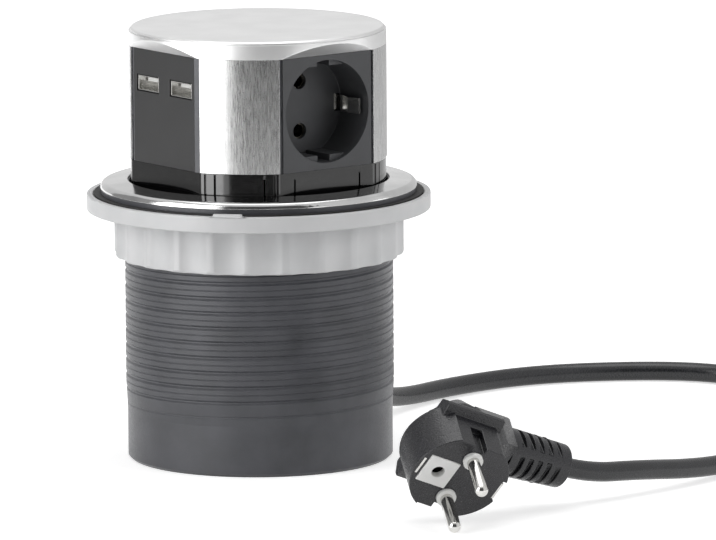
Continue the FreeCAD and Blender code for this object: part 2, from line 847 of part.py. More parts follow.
def socket_front():
    """One socket insert: face plate, round well and the chamber for its contacts."""
    half = panel_width / 2
    back, rear = -floor_back, -sleeve_from_axis
    floor_at = back - well_floor
    face = box(-half, half, -flat_at, -flat_at + face_thick, panel_low, panel_top)
    cup = along_y(well_r + well_wall, -flat_at, back, centre_z)
    chamber = box(-chamber_half_width, chamber_half_width, back - join_lap, rear,
                  centre_z - chamber_half_height, centre_z + chamber_half_height)
    solid = face.fuse(cup.common(box(-half, half, -flat_at, back, panel_low, panel_top))).fuse(chamber)
    solid = solid.cut(along_y(well_r, -flat_at - cut_past, floor_at, centre_z))
    keep = along_y(well_r + well_wall / 2, -flat_at + key_set_back, floor_at + part_gap, centre_z)
    for side in (-1, 1):
        low, high = sorted((side * key_flat_at, side * (well_r + well_wall)))
        key = keep.common(box(-well_r, well_r, -flat_at, back, centre_z + low, centre_z + high))
        solid = solid.fuse(key.cut(box(-key_slot_width / 2, key_slot_width / 2, -flat_at - cut_past,
                                       floor_at, centre_z + low, centre_z + high)))
    for side in (-1, 1):
        z = centre_z + side * pin_spacing / 2
        room = sleeve_r + part_gap
        solid = solid.cut(along_y(pin_hole_r, floor_at - cut_past, back + cut_past, z))
        solid = solid.cut(along_y(room, back, rear + cut_past, z))
        solid = solid.cut(box(-room, room, back + part_gap / 2, rear + cut_past,
                              *sorted((z, z + side * chamber_half_height))))
        strap_x = sorted((side * (strap_at - strap_bulge - strap_gap), side * (strap_at + strap_gap)))
        strap_z = [centre_z + end * (strap_width / 2 + strap_gap) for end in (-1, 1)]
        strap_slot = box(*strap_x, floor_at - cut_past, back + part_gap, *strap_z)
        solid = solid.cut(strap_slot)
    bar_room = box(-strap_at - strap_gap, strap_at + strap_gap, back, back + strap_thick + 2 * part_gap,
                   centre_z - strap_width / 2 - part_gap, centre_z + strap_width / 2 + part_gap)
    bus_room = box(-bus_width / 2 - part_gap, bus_width / 2 + part_gap, back, rear + cut_past,
                   centre_z - bus_thick / 2 - part_gap, centre_z + bus_thick / 2 + part_gap)
    return solid.cut(bar_room).cut(bus_room).removeSplitter()


def earth_strap():
    """A spring strap: a bar behind the floor and two bowed arms inside the well."""
    back = -floor_back + part_gap
    arms = []
    bar = box(-strap_at, strap_at, back, back + strap_thick,
              centre_z - strap_width / 2, centre_z + strap_width / 2)
    front, bow, bend = -flat_at + strap_tip_in, -flat_at + strap_bow_in, back - strap_bend_from
    root, crown, tip = strap_at, strap_at - strap_bulge, strap_at - strap_tip_back
    outline = [(root, back + strap_thick), (root, bend), (crown, bow), (tip, front),
               (tip - strap_thick, front), (crown - strap_thick, bow), (root - strap_thick, bend),
               (root - strap_thick, back + strap_thick)]
    for side in (-1, 1):
        corners = [(side * x, y) for x, y in outline]
        arms.append(wedge(corners, "z", centre_z - strap_width / 2, centre_z + strap_width / 2))
    return joined([bar] + arms)


def contact_sleeves():
    """Two split sleeves that grip the plug's pins."""
    made = []
    back = -floor_back + part_gap
    end = back + sleeve_length
    for side in (-1, 1):
        z = centre_z + side * pin_spacing / 2
        tube = along_y(sleeve_r, back, end, z).cut(
            along_y(sleeve_bore_r, back - cut_past, end + cut_past, z))
        split = box(-sleeve_split / 2, sleeve_split / 2, back - cut_past, end - sleeve_solid,
                    *sorted((z, z - side * 2 * sleeve_r)))
        made.append(tube.cut(split))
    return group(made)


def bus(plate_z, reach, riser_y):
    """A flat conductor with an arm to each socket and a riser down to the terminals."""
    z0, z1 = plate_z, plate_z + bus_thick
    half, riser_half = bus_width / 2, riser_width / 2
    across = box(-half, half, -reach, reach, z0, z1)
    side = box(0, reach, -half, half, z0, z1)
    link = box(riser_x, 0, riser_y - riser_half, riser_y + riser_half, z0, z1)
    riser = box(riser_x, riser_x + bus_thick, riser_y - riser_half, riser_y + riser_half,
                terminal_low() + riser_stand, z1)
    return joined([across, side, link, riser])


def phase_bus():
    return bus(centre_z + pin_spacing / 2 + sleeve_r, floor_back - bus_short, riser_pitch)


def earth_bus():
    return bus(centre_z - bus_thick / 2, floor_back - part_gap - strap_thick, 0.0)


def neutral_bus():
    return bus(centre_z - pin_spacing / 2 - sleeve_r - bus_thick, floor_back - bus_short, -riser_pitch)


# USB side

def usb_centre_z():
    return centre_z + usb_above_centre


def shell_front():
    return -flat_at + usb_shell_in


def board_front():
    return shell_front() + usb_shell_deep


def board_back():
    return board_front() + board_thick


def board_middle():
    return centre_z - board_drop


def usb_places():
    return (-usb_pitch / 2, usb_pitch / 2)


def board_screw_places():
    return [(sy * board_screw_spacing_y / 2, board_middle() + sz * board_screw_spacing_z / 2)
            for sy in (-1, 1) for sz in (-1, 1)]


def along_x(r, x0, x1, y, z):
    """A cylinder along X."""
    return Part.makeCylinder(r, x1 - x0, Vector(x0, y, z), Vector(1, 0, 0))


def usb_panel():
    """The flat panel with two windows, and four bosses that carry the board."""
    half = usb_panel_width / 2
    inside = -flat_at + usb_panel_thick
    panel = box(-flat_at, inside, -half, half, panel_low, panel_top)
    z = usb_centre_z()
    for y in usb_places():
        panel = panel.cut(box(-flat_at - cut_past, inside + cut_past,
                              y - usb_window_width / 2, y + usb_window_width / 2,
                              z - usb_window_height / 2, z + usb_window_height / 2))
    bosses = [along_x(board_boss_r, inside - join_lap, board_front(), y, z)
              for y, z in board_screw_places()]
    panel = joined([panel] + bosses)
    for y, z in board_screw_places():
        panel = panel.cut(along_x(board_screw_r + part_gap / 2,
                                  board_front() - board_screw_bite - board_pilot_room,
                                  board_front() + cut_past, y, z))
    return panel


def usb_shell(y):
    """One port's metal shell, closed at the back."""
    z = usb_centre_z()
    w, h, t = usb_shell_width / 2, usb_shell_height / 2, usb_shell_wall
    shell = box(shell_front(), board_front(), y - w, y + w, z - h, z + h)
    return shell.cut(box(shell_front() - cut_past, board_front() - usb_shell_back,
                         y - w + t, y + w - t, z - h + t, z + h - t))


def usb_tongues():
    z = usb_centre_z() + usb_tongue_up
    back = board_front() - usb_shell_back
    root_y = usb_shell_width / 2 - usb_shell_wall
    root_z = usb_shell_height / 2 - usb_shell_wall
    made = []
    for y in usb_places():
        tongue = box(back - usb_tongue_deep, back, y - usb_tongue_width / 2, y + usb_tongue_width / 2,
                     z, z + usb_tongue_height)
        root = box(back - usb_tongue_root, back, y - root_y, y + root_y,
                   usb_centre_z() - root_z, usb_centre_z() + root_z)
        made.append(tongue.fuse(root))
    return group(made)


def usb_board():
    board = box(board_front(), board_back(), -board_half_width, board_half_width,
                board_middle() - board_height / 2, board_middle() + board_height / 2)
    for y, z in board_screw_places():
        board = board.cut(along_x(board_screw_r + screw_gap, board_front() - cut_past,
                                  board_back() + cut_past, y, z))
    return board


def board_screws():
    head_at = board_back() + board_screw_head
    length = board_screw_head + board_thick + board_screw_bite
    return group([screw(board_screw_r, board_screw_head_r, board_screw_head, length,
                        Vector(head_at, y, z), Vector(-1, 0, 0)) for y, z in board_screw_places()])


def usb_transformer():
    front, back = board_back(), board_back() + transformer_deep
    z = centre_z - transformer_below
    half_w, half_h = transformer_width / 2, transformer_height / 2
    core_h = half_h - transformer_core_in
    coil_w = half_w - transformer_coil_side
    core = box(front, back, -half_w, half_w, z - core_h, z + core_h)
    coil = box(front + transformer_coil_in, back - transformer_coil_in, -coil_w, coil_w,
               z - half_h, z + half_h)
    return core.fuse(coil)


def usb_capacitors():
    """Two cans, as far apart as the diagonal ribs of the frame allow."""
    end = board_back() + capacitor_length
    y = -end - rib_thick / math.sqrt(2) - capacitor_r - capacitor_gap
    return group([along_x(capacitor_r, board_back(), end, side * y, centre_z + capacitor_above)
                  for side in (-1, 1)])


def usb_leads():
    """The two short wires that feed the board from the risers."""
    return group([along_x(usb_lead_r, board_back(), riser_x, riser_pitch, centre_z + usb_lead_above),
                  along_x(usb_lead_r, board_back(), riser_x, -riser_pitch, centre_z - usb_lead_below)])


def terminal_x():
    return riser_x + bus_thick / 2


def terminal_low():
    return deck_low - terminal_high


def terminal_block():
    x, low = terminal_x(), terminal_low()
    half = terminal_deep / 2
    block = box(x - half, x + half, -terminal_wide / 2, terminal_wide / 2, low, deck_low - part_gap)
    riser_face = riser_x + bus_thick + part_gap
    for index in (-1, 0, 1):
        y = index * riser_pitch
        block = block.cut(box(riser_x - part_gap, riser_face,
                              y - riser_width / 2 - part_gap, y + riser_width / 2 + part_gap,
                              low + riser_stand - terminal_slot_under, deck_low + cut_past))
        block = block.cut(along_x(terminal_screw_head_r + part_gap, riser_face, x + half + cut_past,
                                  y, low + terminal_screw_up))
        block = block.cut(disc(terminal_hole_r, low - cut_past, low + terminal_hole_deep, x, y))
    return block


def terminal_screws():
    head_at = terminal_x() + terminal_deep / 2 - terminal_screw_in
    length = head_at - riser_x - bus_thick - terminal_screw_short
    return group([screw(terminal_screw_r, terminal_screw_head_r, terminal_screw_head, length,
                        Vector(head_at, index * riser_pitch, terminal_low() + terminal_screw_up),
                        Vector(-1, 0, 0)) for index in (-1, 0, 1)])


# Cords

def section(r, at, way):
    """A round wire to sweep, square to way."""
    return Part.Wire(Part.Circle(at, way, r).toShape())


def rounded_path(points, name):
    """Straight runs joined by tangent arcs as large as the shorter run allows."""
    edges = []
    radii = []
    start = points[0]
    for before, here, after in zip(points, points[1:], points[2:]):
        back, ahead = before - here, after - here
        turn = math.pi - back.getAngle(ahead)
        setback = 0.45 * min(back.Length, ahead.Length)
        radii.append(setback / math.tan(turn / 2))
        enter = here + back.normalize() * setback
        leave = here + ahead.normalize() * setback
        middle = (enter + leave) * 0.5
        inward = here - middle
        sagitta = setback * math.tan(turn / 4) * math.cos(turn / 2)
        arc = Part.Arc(enter, middle + inward * (sagitta / inward.Length), leave)
        edges.append(Part.LineSegment(start, enter).toShape())
        edges.append(arc.toShape())
        start = leave
    edges.append(Part.LineSegment(start, points[-1]).toShape())
    if radii:
        print(name, "bend radii mm:", ", ".join("%.0f" % r for r in radii))
    return Part.Wire(edges)


def cord_tube(points, r, name):
    """A tube along a rounded path, whose volume is compared with section times length."""
    path = rounded_path(points, name)
    tube = path.makePipeShell([section(r, points[0], points[1] - points[0])], True, False)
    share = tube.Volume / (math.pi * r * r * path.Length)
    print(name, "length %.0f mm, volume share %.4f" % (path.Length, share))
    return tube, path.Length


def biarc(p0, t0, p1, t1):
    """Two arcs that leave p0 along t0 and reach p1 along t1."""
    v = p1 - p0
    t = t0 + t1
    k = 2 * (1 - t0.dot(t1))
    d = (-v.dot(t) + math.sqrt(v.dot(t) ** 2 + k * v.dot(v))) / k
    q0, q1 = p0 + t0 * d, p1 - t1 * d
    joint = (q0 + q1) * 0.5
    arcs = []
    for a, corner, b in ((p0, q0, joint), (joint, q1, p1)):
        middle = (a + b) * 0.5
        rise = corner - middle
        chord = (b - a).Length / 2
        base_angle = math.atan2(rise.Length, chord)
        top = middle + rise * (chord * math.tan(base_angle / 2) / rise.Length)
        arcs.append(Part.Arc(a, top, b).toShape())
    return arcs


def coil_state(turns):
    """Centre-line point and heading after so many turns from the coil's start."""
    half = coil_turns / 2
    inward = turns <= half
    r = coil_outer_r - coil_step * (turns if inward else coil_turns - turns)
    slope = -coil_step / (2 * math.pi) * (1 if inward else -1)
    if abs(turns - half) < 1e-9:
        slope = 0.0
    climb = min(max((turns - half + 0.25) / 0.5, 0.0), 1.0)
    z = coil_low + coil_layer * climb * climb * (3 - 2 * climb)
    rise = coil_layer * 6 * climb * (1 - climb) / 0.5 / (2 * math.pi)
    phi = math.radians(coil_start_azimuth) + 2 * math.pi * turns
    out = Vector(math.cos(phi), math.sin(phi), 0)
    round_way = Vector(-math.sin(phi), math.cos(phi), 0)
    heading = round_way * r + out * slope + up * rise
    return coil_at + out * r + up * z, heading.normalize()


def coil_ends():
    """Where the coil's straight ends stop, and the headings there."""
    first, first_way = coil_state(0.0)
    last, last_way = coil_state(float(coil_turns))
    return first - first_way * (2 * cord_r), first_way, last + last_way * (2 * cord_r), last_way


def cord_coil():
    """The put-away length: turns that spiral in on the floor and out again on top."""
    start, start_way, end, end_way = coil_ends()
    edges = [Part.LineSegment(start, coil_state(0.0)[0]).toShape()]
    steps = coil_turns * 4
    for index in range(steps):
        a, ta = coil_state(coil_turns * index / steps)
        b, tb = coil_state(coil_turns * (index + 1) / steps)
        edges += biarc(a, ta, b, tb)
    edges.append(Part.LineSegment(coil_state(float(coil_turns))[0], end).toShape())
    path = Part.Wire(edges)
    tube = path.makePipeShell([section(cord_r, start, start_way)], True, False)
    samples = [coil_state(coil_turns * i / 480.0)[0] for i in range(481)]
    near = min((samples[i] - samples[j]).Length
               for i in range(0, 481, 2) for j in range(i + 60, 481))
    share = tube.Volume / (math.pi * cord_r ** 2 * path.Length)
    print("cord_coil length %.0f mm, volume share %.4f, gap to itself %.2f mm"
          % (path.Length, share, near - 2 * cord_r))
    return tube, path.Length


def coil_tie():
    """A flat strap around the coil's section."""
    inner = coil_outer_r - coil_step * coil_turns / 2 - cord_r - tie_gap
    outer = coil_outer_r + cord_r + tie_gap
    low, top = coil_low - cord_r - part_gap, coil_low + coil_layer + cord_r + tie_gap
    ring = box(inner - tie_thick, outer + tie_thick, -tie_width / 2, tie_width / 2,
               low - tie_thick, top + tie_thick)
    strap = spun(ring.cut(box(inner, outer, -tie_width, tie_width, low, top)), tie_azimuth)
    strap.translate(coil_at)
    return strap


def gland():
    """The strain relief in the tube's wall: a neck, a flange and a ribbed taper."""
    barrel_r, neck_r = gland_neck_r + gland_barrel, gland_neck_r - part_gap
    root_r = gland_flange_r - gland_root_in
    inside, ledge = tube_bore_r - gland_inside, tube_bore_r - gland_ledge
    flange_at = tube_r + gland_stand
    taper_start, taper_end = tube_r + gland_flange_thick, tube_r + gland_length
    profile = [(0, inside), (barrel_r, inside), (barrel_r, ledge), (neck_r, ledge), (neck_r, flange_at),
               (gland_flange_r, flange_at), (gland_flange_r, taper_start)]
    steps = 2 * gland_rib_count
    for index in range(steps + 1):
        share = index / steps
        r = root_r + (gland_tip_r - root_r) * share - (gland_rib_deep if index % 2 else 0.0)
        profile.append((r, taper_start + (taper_end - taper_start) * share))
    profile.append((0, taper_end))
    corners = [Vector(a, r, 0) for r, a in profile]
    face = Part.Face(Part.makePolygon(corners + corners[:1]))
    solid = face.revolve(Vector(0, 0, 0), Vector(1, 0, 0), 360)
    solid = solid.cut(along_x(inner_lead_r, 0, tube_bore_r - cut_past, 0, 0))
    solid.translate(Vector(0, 0, gland_z))
    return spun(solid, gland_azimuth)


def gland_way():
    turn = math.radians(gland_azimuth)
    return Vector(math.cos(turn), math.sin(turn), 0)


def cord_out():
    start = gland_way() * (tube_r + gland_length) + up * gland_z
    coil_start, coil_way, _, _ = coil_ends()
    points = ([start, start + gland_way() * cord_out_first_run] + cord_out_points
              + [coil_start - coil_way * cord_out_last_run, coil_start])
    return cord_tube(points, cord_r, "cord_out")


def cord_in():
    _, _, coil_end, coil_way = coil_ends()
    end, way = neck_end()
    points = ([coil_end, coil_end + coil_way * cord_in_first_run] + cord_in_points
              + [end + way * cord_in_last_run, end])
    return cord_tube(points, cord_r, "cord_in")


def inner_lead():
    """The lead from the gland to the terminals, with the slack that the travel needs."""
    start = gland_way() * (tube_bore_r - cut_past) + up * gland_z
    knee = gland_way() * (clamp_radius_at - clamp_half_length - lead_knee) + up * gland_z
    points = ([start, knee] + lead_points
              + [Vector(terminal_x(), 0, foot_low - lead_last_rise),
                 Vector(terminal_x(), 0, terminal_low() - part_gap)])
    return cord_tube(points, inner_lead_r, "inner_lead")[0]


# Plug, built with its face at the origin: pins along +Z, outlet along +X

def to_plug_place(shape):
    x = Vector(plug_outlet_way).normalize()
    z = x.cross(plug_pin_line_way).normalize()
    y = z.cross(x)
    place = FreeCAD.Matrix(x.x, y.x, z.x, plug_face_at.x, x.y, y.y, z.y, plug_face_at.y,
                           x.z, y.z, z.z, plug_face_at.z, 0, 0, 0, 1)
    copy = shape.copy()
    copy.Placement = FreeCAD.Placement(place)
    return copy


def neck_way_local():
    tilt = math.radians(neck_tilt)
    return Vector(math.cos(tilt), 0, -math.sin(tilt))


def neck_end():
    """Where the cord enters the plug's neck, and the way it leaves."""
    end = Vector(neck_start, 0, -neck_axis_deep) + neck_way_local() * neck_length
    placed = to_plug_place(Part.makeLine(end, end + neck_way_local()))
    a, b = placed.Vertexes[0].Point, placed.Vertexes[1].Point
    return a, b - a


def sides(low, high):
    """A span on one side of the plug and its mirror image."""
    return ((low, high), (-high, -low))


def plug_body():
    """The moulded body: round front, flat grip sides, a ledge behind and a back sloping up to the neck."""
    wide = 2 * plug_r
    front = disc(plug_r, -plug_front_deep, 0)
    for low, high in sides(plug_flat_at, wide):
        front = front.cut(box(plug_flat_from, wide, low, high, -wide, cut_past))
    for low, high in sides(plug_flat_at - plug_key_deep, wide):
        front = front.cut(box(-plug_key_width / 2, plug_key_width / 2, low, high, -plug_key_long, cut_past))
    notch_half = plug_clip_width / 2 + plug_rim_notch_room
    front = front.cut(box(plug_r - plug_rim_notch, wide, -notch_half, notch_half,
                          -plug_front_deep + plug_rim_notch_floor, cut_past))
    shoulder, lip = -plug_ledge_front, -plug_ledge_front - plug_ledge_fall
    under, bottom = -plug_ledge_front - plug_ledge_thick, -plug_back_deep
    inner, corner = plug_flat_at - plug_ledge_in, plug_back_corner
    half_outline = [(inner, shoulder), (plug_ledge_at, lip), (plug_ledge_at, under),
                    (plug_back_half, bottom + corner), (plug_back_half - corner, bottom)]
    outline = half_outline + [(-y, z) for y, z in reversed(half_outline)]
    back = wedge(outline, "x", -plug_ledge_half, plug_ledge_half)
    heel = disc(plug_r, -plug_front_deep - join_lap, -plug_front_deep + plug_heel_up).fuse(
        Part.makeCone(plug_back_half, plug_r, plug_back_deep - plug_front_deep,
                      Vector(0, 0, -plug_back_deep)))
    heel = heel.common(box(-wide, wide, -plug_flat_at, plug_flat_at, -2 * wide, 0))
    slope_top = -plug_front_deep - plug_slope_below
    slope = wedge([(-wide, slope_top), (plug_slope_from, slope_top), (plug_slope_to, bottom),
                   (plug_slope_to, -2 * wide), (-wide, -2 * wide)], "y", -wide, wide)
    root_top = -plug_ledge_front + plug_root_top
    lift, pull = plug_root_corner
    half_root = [(inner, root_top), (inner, -neck_axis_deep + plug_root_low),
                 (plug_back_half + lift, bottom + pull), (plug_back_half - pull, bottom + lift)]
    root = wedge(half_root + [(-y, z) for y, z in reversed(half_root)], "x", plug_root_from, neck_start)
    root_back = plug_root_from - cut_past
    taper = wedge([(root_back, root_top + pull), (root_back, bottom - pull),
                   (neck_start, -neck_axis_deep - neck_start_r),
                   (neck_start, -neck_axis_deep + neck_start_r)], "y", -wide, wide)
    taper_plan = wedge([(root_back, -plug_ledge_at), (neck_start, -neck_start_r - neck_room),
                        (neck_start, neck_start_r + neck_room), (root_back, plug_ledge_at)],
                       "z", -2 * wide, wide)
    solid = joined([front, back.cut(slope), heel.cut(slope), root.common(taper).common(taper_plan)])
    for side in (-1, 1):
        y_pin = side * pin_spacing / 2
        for r, deep in ((plug_collar_r, plug_collar_deep), (plug_pin_root_r, plug_pin_root_deep)):
            solid = solid.cut(disc(r + part_gap / 2, -deep - part_gap, cut_past, 0, y_pin))
    h = plug_plate_half + part_gap / 2
    solid = solid.cut(box(plug_plate_x - h, plug_plate_x + h, -h, h, -plug_plate_deep - part_gap, cut_past))
    sleeve_room = plug_earth_bore_r + plug_sleeve_wall + part_gap
    solid = solid.cut(disc(sleeve_room, plug_sleeve_low - part_gap, 0, plug_plate_x, 0))
    clip_half = plug_clip_width / 2 + part_gap
    for low, high in sides(plug_clip_at - plug_clip_thick - part_gap, plug_clip_at + part_gap):
        solid = solid.cut(box(low, high, -clip_half, clip_half, -plug_clip_low - part_gap, cut_past))
    return solid


def plug_neck(body):
    """The ribbed bend relief, with rows of slots on four sides."""
    cone = Part.makeCone(neck_start_r, neck_end_r, neck_length, Vector(0, 0, 0), Vector(1, 0, 0))
    half = neck_start_r * neck_slot_reach
    for index in range(neck_slot_count):
        x = neck_slot_from + index * neck_slot_pitch
        for low, high in sides(neck_start_r - neck_slot_deep, neck_start_r + cut_past):
            cone = cone.cut(box(x, x + neck_slot_width, low, high, -half, half))
            cone = cone.cut(box(x, x + neck_slot_width, -half, half, low, high))
    cone.rotate(Vector(0, 0, 0), Vector(0, 1, 0), neck_tilt)
    cone.translate(Vector(neck_start, 0, -neck_axis_deep))
    return cone.cut(body)


def plug_pins():
    made = []
    for side in (-1, 1):
        y = side * pin_spacing / 2
        root = disc(plug_pin_root_r, -plug_pin_root_deep, plug_collar_high, 0, y)
        shaft = disc(plug_pin_r, plug_collar_high, plug_pin_length - plug_pin_r, 0, y)
        ball = Part.makeSphere(plug_pin_r, Vector(0, y, plug_pin_length - plug_pin_r))
        made.append(joined([root, shaft, ball]))
    return group(made)


def plug_pin_collars():
    made = []
    for side in (-1, 1):
        y = side * pin_spacing / 2
        ring = disc(plug_collar_r, -plug_collar_deep, plug_collar_high, 0, y)
        made.append(ring.cut(disc(plug_pin_root_r + part_gap / 2, -plug_collar_deep - cut_past,
                                  plug_collar_high + cut_past, 0, y)))
    return group(made)


def plug_earth_plate():
    """The pale insert on the face with the hole for an earth pin."""
    h = plug_plate_half
    plate = box(plug_plate_x - h, plug_plate_x + h, -h, h, -plug_plate_deep, plug_plate_proud)
    return plate.cut(disc(plug_earth_bore_r, -plug_plate_deep - cut_past, cut_past, plug_plate_x, 0))


def plug_earth_sleeve():
    """The metal tube behind the hole in the plate."""
    tube = disc(plug_earth_bore_r + plug_sleeve_wall, plug_sleeve_low, plug_sleeve_top, plug_plate_x, 0)
    return tube.cut(disc(plug_earth_bore_r, plug_sleeve_low + plug_sleeve_floor, 0, plug_plate_x, 0))


def plug_earth_clips():
    """The two side contacts, in slots near the edge of the face."""
    half = plug_clip_width / 2
    return group([box(low, high, -half, half, -plug_clip_low, -plug_clip_in)
                  for low, high in sides(plug_clip_at - plug_clip_thick, plug_clip_at)])


def build():
    out, out_length = cord_out()
    coil, coil_length = cord_coil()
    back_in, in_length = cord_in()
    total = out_length + coil_length + in_length
    print("cord length %.0f mm, wanted %.0f mm" % (total, cord_length))
    strip, plug = metal_strip(), plug_body()
    socket, strap, sleeves = socket_front(), earth_strap(), contact_sleeves()
    nodes = {
        "threaded_tube": threaded_tube(), "bottom_cover": bottom_cover(), "cover_screws": cover_screws(),
        "trim_ring": trim_ring(), "ring_gasket": ring_gasket(), "guide_blocks": guide_blocks(),
        "pressure_ring": pressure_ring(), "ring_nut": ring_nut(),
        "cord_gland": gland(), "cord_clamp": cord_clamp(), "clamp_screws": clamp_screws(),
        "top_cap": top_cap(), "cap_disc": cap_disc(), "inner_frame": inner_frame(),
        "base_collar": base_collar(), "lower_cover": lower_cover(), "tie_screws": tie_screws(),
        "phase_bus": phase_bus(), "earth_bus": earth_bus(), "neutral_bus": neutral_bus(),
        "usb_panel": usb_panel(), "usb_port_left": usb_shell(usb_pitch / 2),
        "usb_port_right": usb_shell(-usb_pitch / 2), "usb_tongues": usb_tongues(),
        "usb_board": usb_board(), "board_screws": board_screws(),
        "usb_transformer": usb_transformer(), "usb_capacitors": usb_capacitors(),
        "usb_leads": usb_leads(), "terminal_block": terminal_block(),
        "terminal_screws": terminal_screws(), "inner_lead": inner_lead(),
        "cord_out": out, "cord_coil": coil, "cord_in": back_in, "coil_tie": coil_tie(),
        "plug_body": to_plug_place(plug), "plug_neck": to_plug_place(plug_neck(plug)),
        "plug_pins": to_plug_place(plug_pins()), "plug_pin_collars": to_plug_place(plug_pin_collars()),
        "plug_earth_plate": to_plug_place(plug_earth_plate()),
        "plug_earth_sleeve": to_plug_place(plug_earth_sleeve()),
        "plug_earth_clips": to_plug_place(plug_earth_clips())}
    for name, angle in (("front", 0), ("right", 90), ("back", 180)):
        nodes["socket_" + name] = spun(socket, angle)
        nodes["earth_strap_" + name] = spun(strap, angle)
        nodes["contacts_" + name] = spun(sleeves, angle)
    for name, angle in (("right_back", 0), ("left_back", 90), ("left_front", 180), ("right_front", 270)):
        nodes["metal_strip_" + name] = spun(strip, angle)
    return nodes


os.makedirs("parts", exist_ok=True)
for node, shape in build().items():
    if not shape.isValid() or not shape.Solids:
        print("check this shape:", node)
    shape.exportStep("parts/" + node + ".step")
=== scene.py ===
# Pop-up worktop socket tower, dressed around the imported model.
import math
import bpy
from mathutils import Matrix, Vector


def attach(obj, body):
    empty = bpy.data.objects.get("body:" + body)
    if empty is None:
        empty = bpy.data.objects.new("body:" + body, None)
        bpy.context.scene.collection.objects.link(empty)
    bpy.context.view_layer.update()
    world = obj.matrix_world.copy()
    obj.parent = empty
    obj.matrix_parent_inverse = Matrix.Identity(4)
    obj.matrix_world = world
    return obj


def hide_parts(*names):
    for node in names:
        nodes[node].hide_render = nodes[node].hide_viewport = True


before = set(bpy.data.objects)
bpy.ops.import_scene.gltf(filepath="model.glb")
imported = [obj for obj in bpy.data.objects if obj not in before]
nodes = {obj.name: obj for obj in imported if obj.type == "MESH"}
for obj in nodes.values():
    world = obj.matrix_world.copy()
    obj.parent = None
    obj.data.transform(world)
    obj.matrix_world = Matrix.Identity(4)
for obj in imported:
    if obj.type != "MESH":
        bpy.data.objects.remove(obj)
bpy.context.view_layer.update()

mm = 0.001
up = Vector((0, 0, 1))
print("frame loaded,", len(nodes), "nodes")


# Colours and nodes

def linear(hexCode):
    # what a screen shows, turned to the values that light is reckoned in
    channels = [int(hexCode[i:i + 2], 16) / 255 for i in (1, 3, 5)]
    return [c / 12.92 if c <= 0.04045 else ((c + 0.055) / 1.055) ** 2.4 for c in channels] + [1.0]


def addNode(tree, kind, values=None, links=None, **settings):
    node = tree.nodes.new(kind)
    for name, value in settings.items():
        setattr(node, name, value)
    for socket, value in (values or {}).items():
        node.inputs[socket].default_value = value
    for socket, source in (links or {}).items():
        tree.links.new(source, node.inputs[socket])
    return node


def startMaterial(name):
    material = bpy.data.materials.new(name)
    material.use_nodes = True
    material.node_tree.nodes.clear()
    return material, material.node_tree


def perMm(size):
    # the noise scale whose cells are about so many millimetres wide
    return 1 / (size * mm)


# noise seldom leaves the span, so tint and roughness swing fully within it
noiseLook = {"span": {"From Min": 0.3, "From Max": 0.7}, "cloudDetail": 3.0, "grainDetail": 2.0,
             "streakDetail": 3.0, "bandDetail": 2.0}
coatRough = 0.08


def dressSurface(material, look, broad, fine, fixed):
    # the tint follows the broad pattern, and roughness and relief follow the fine one
    tree = material.node_tree
    spread = addNode(tree, "ShaderNodeMapRange", noiseLook["span"], {"Value": broad.outputs["Fac"]})
    tint = addNode(tree, "ShaderNodeMix", {6: linear(look["dark"]), 7: linear(look["light"])},
                   {0: spread.outputs["Result"]}, data_type="RGBA")
    swing = {"To Min": look["rough"] - look["roughSwing"], "To Max": look["rough"] + look["roughSwing"]}
    rough = addNode(tree, "ShaderNodeMapRange", {**noiseLook["span"], **swing},
                    {"Value": fine.outputs["Fac"]})
    relief = addNode(tree, "ShaderNodeBump",
                     {"Strength": look["relief"], "Distance": look["reliefMm"] * mm},
                     {"Height": fine.outputs["Fac"]})
    shader = addNode(tree, "ShaderNodeBsdfPrincipled", fixed,
                     {"Base Color": tint.outputs[2], "Roughness": rough.outputs["Result"],
                      "Normal": relief.outputs["Normal"]})
    addNode(tree, "ShaderNodeOutputMaterial", links={"Surface": shader.outputs[0]})
    return material


def mouldedPlastic(name, look):
    # injection-moulded thermoplastic: even pigment with faint flow clouds, and a fine spark-eroded grain
    # that breaks up the highlights
    material, tree = startMaterial(name)
    place = {"Vector": addNode(tree, "ShaderNodeTexCoord").outputs["Object"]}
    clouds = addNode(tree, "ShaderNodeTexNoise",
                     {"Scale": perMm(look["cloudMm"]), "Detail": noiseLook["cloudDetail"]}, place)
    grain = addNode(tree, "ShaderNodeTexNoise",
                    {"Scale": perMm(look["grainMm"]), "Detail": noiseLook["grainDetail"]}, place)
    return dressSurface(material, look, clouds, grain,
                        {"IOR": look["ior"], "Coat Weight": look.get("coat", 0.0),
                         "Coat Roughness": coatRough})


def metal(name, look):
    # metal with a finish drawn along one way: streaks are noise stretched along that axis, and the
    # stretch is 1 where the finish has no direction
    material, tree = startMaterial(name)
    place = {"Vector": addNode(tree, "ShaderNodeTexCoord").outputs["Object"]}
    stretched = addNode(tree, "ShaderNodeMapping", {"Scale": look["stretch"]}, place)
    drawn = {"Vector": stretched.outputs["Vector"]}
    fine = addNode(tree, "ShaderNodeTexNoise",
                   {"Scale": perMm(look["fineMm"]), "Detail": noiseLook["streakDetail"]}, drawn)
    broad = addNode(tree, "ShaderNodeTexNoise",
                    {"Scale": perMm(look["broadMm"]), "Detail": noiseLook["bandDetail"]}, drawn)
    return dressSurface(material, look, broad, fine,
                        {"Metallic": 1.0, "Anisotropic": look.get("sideways", 0.0)})


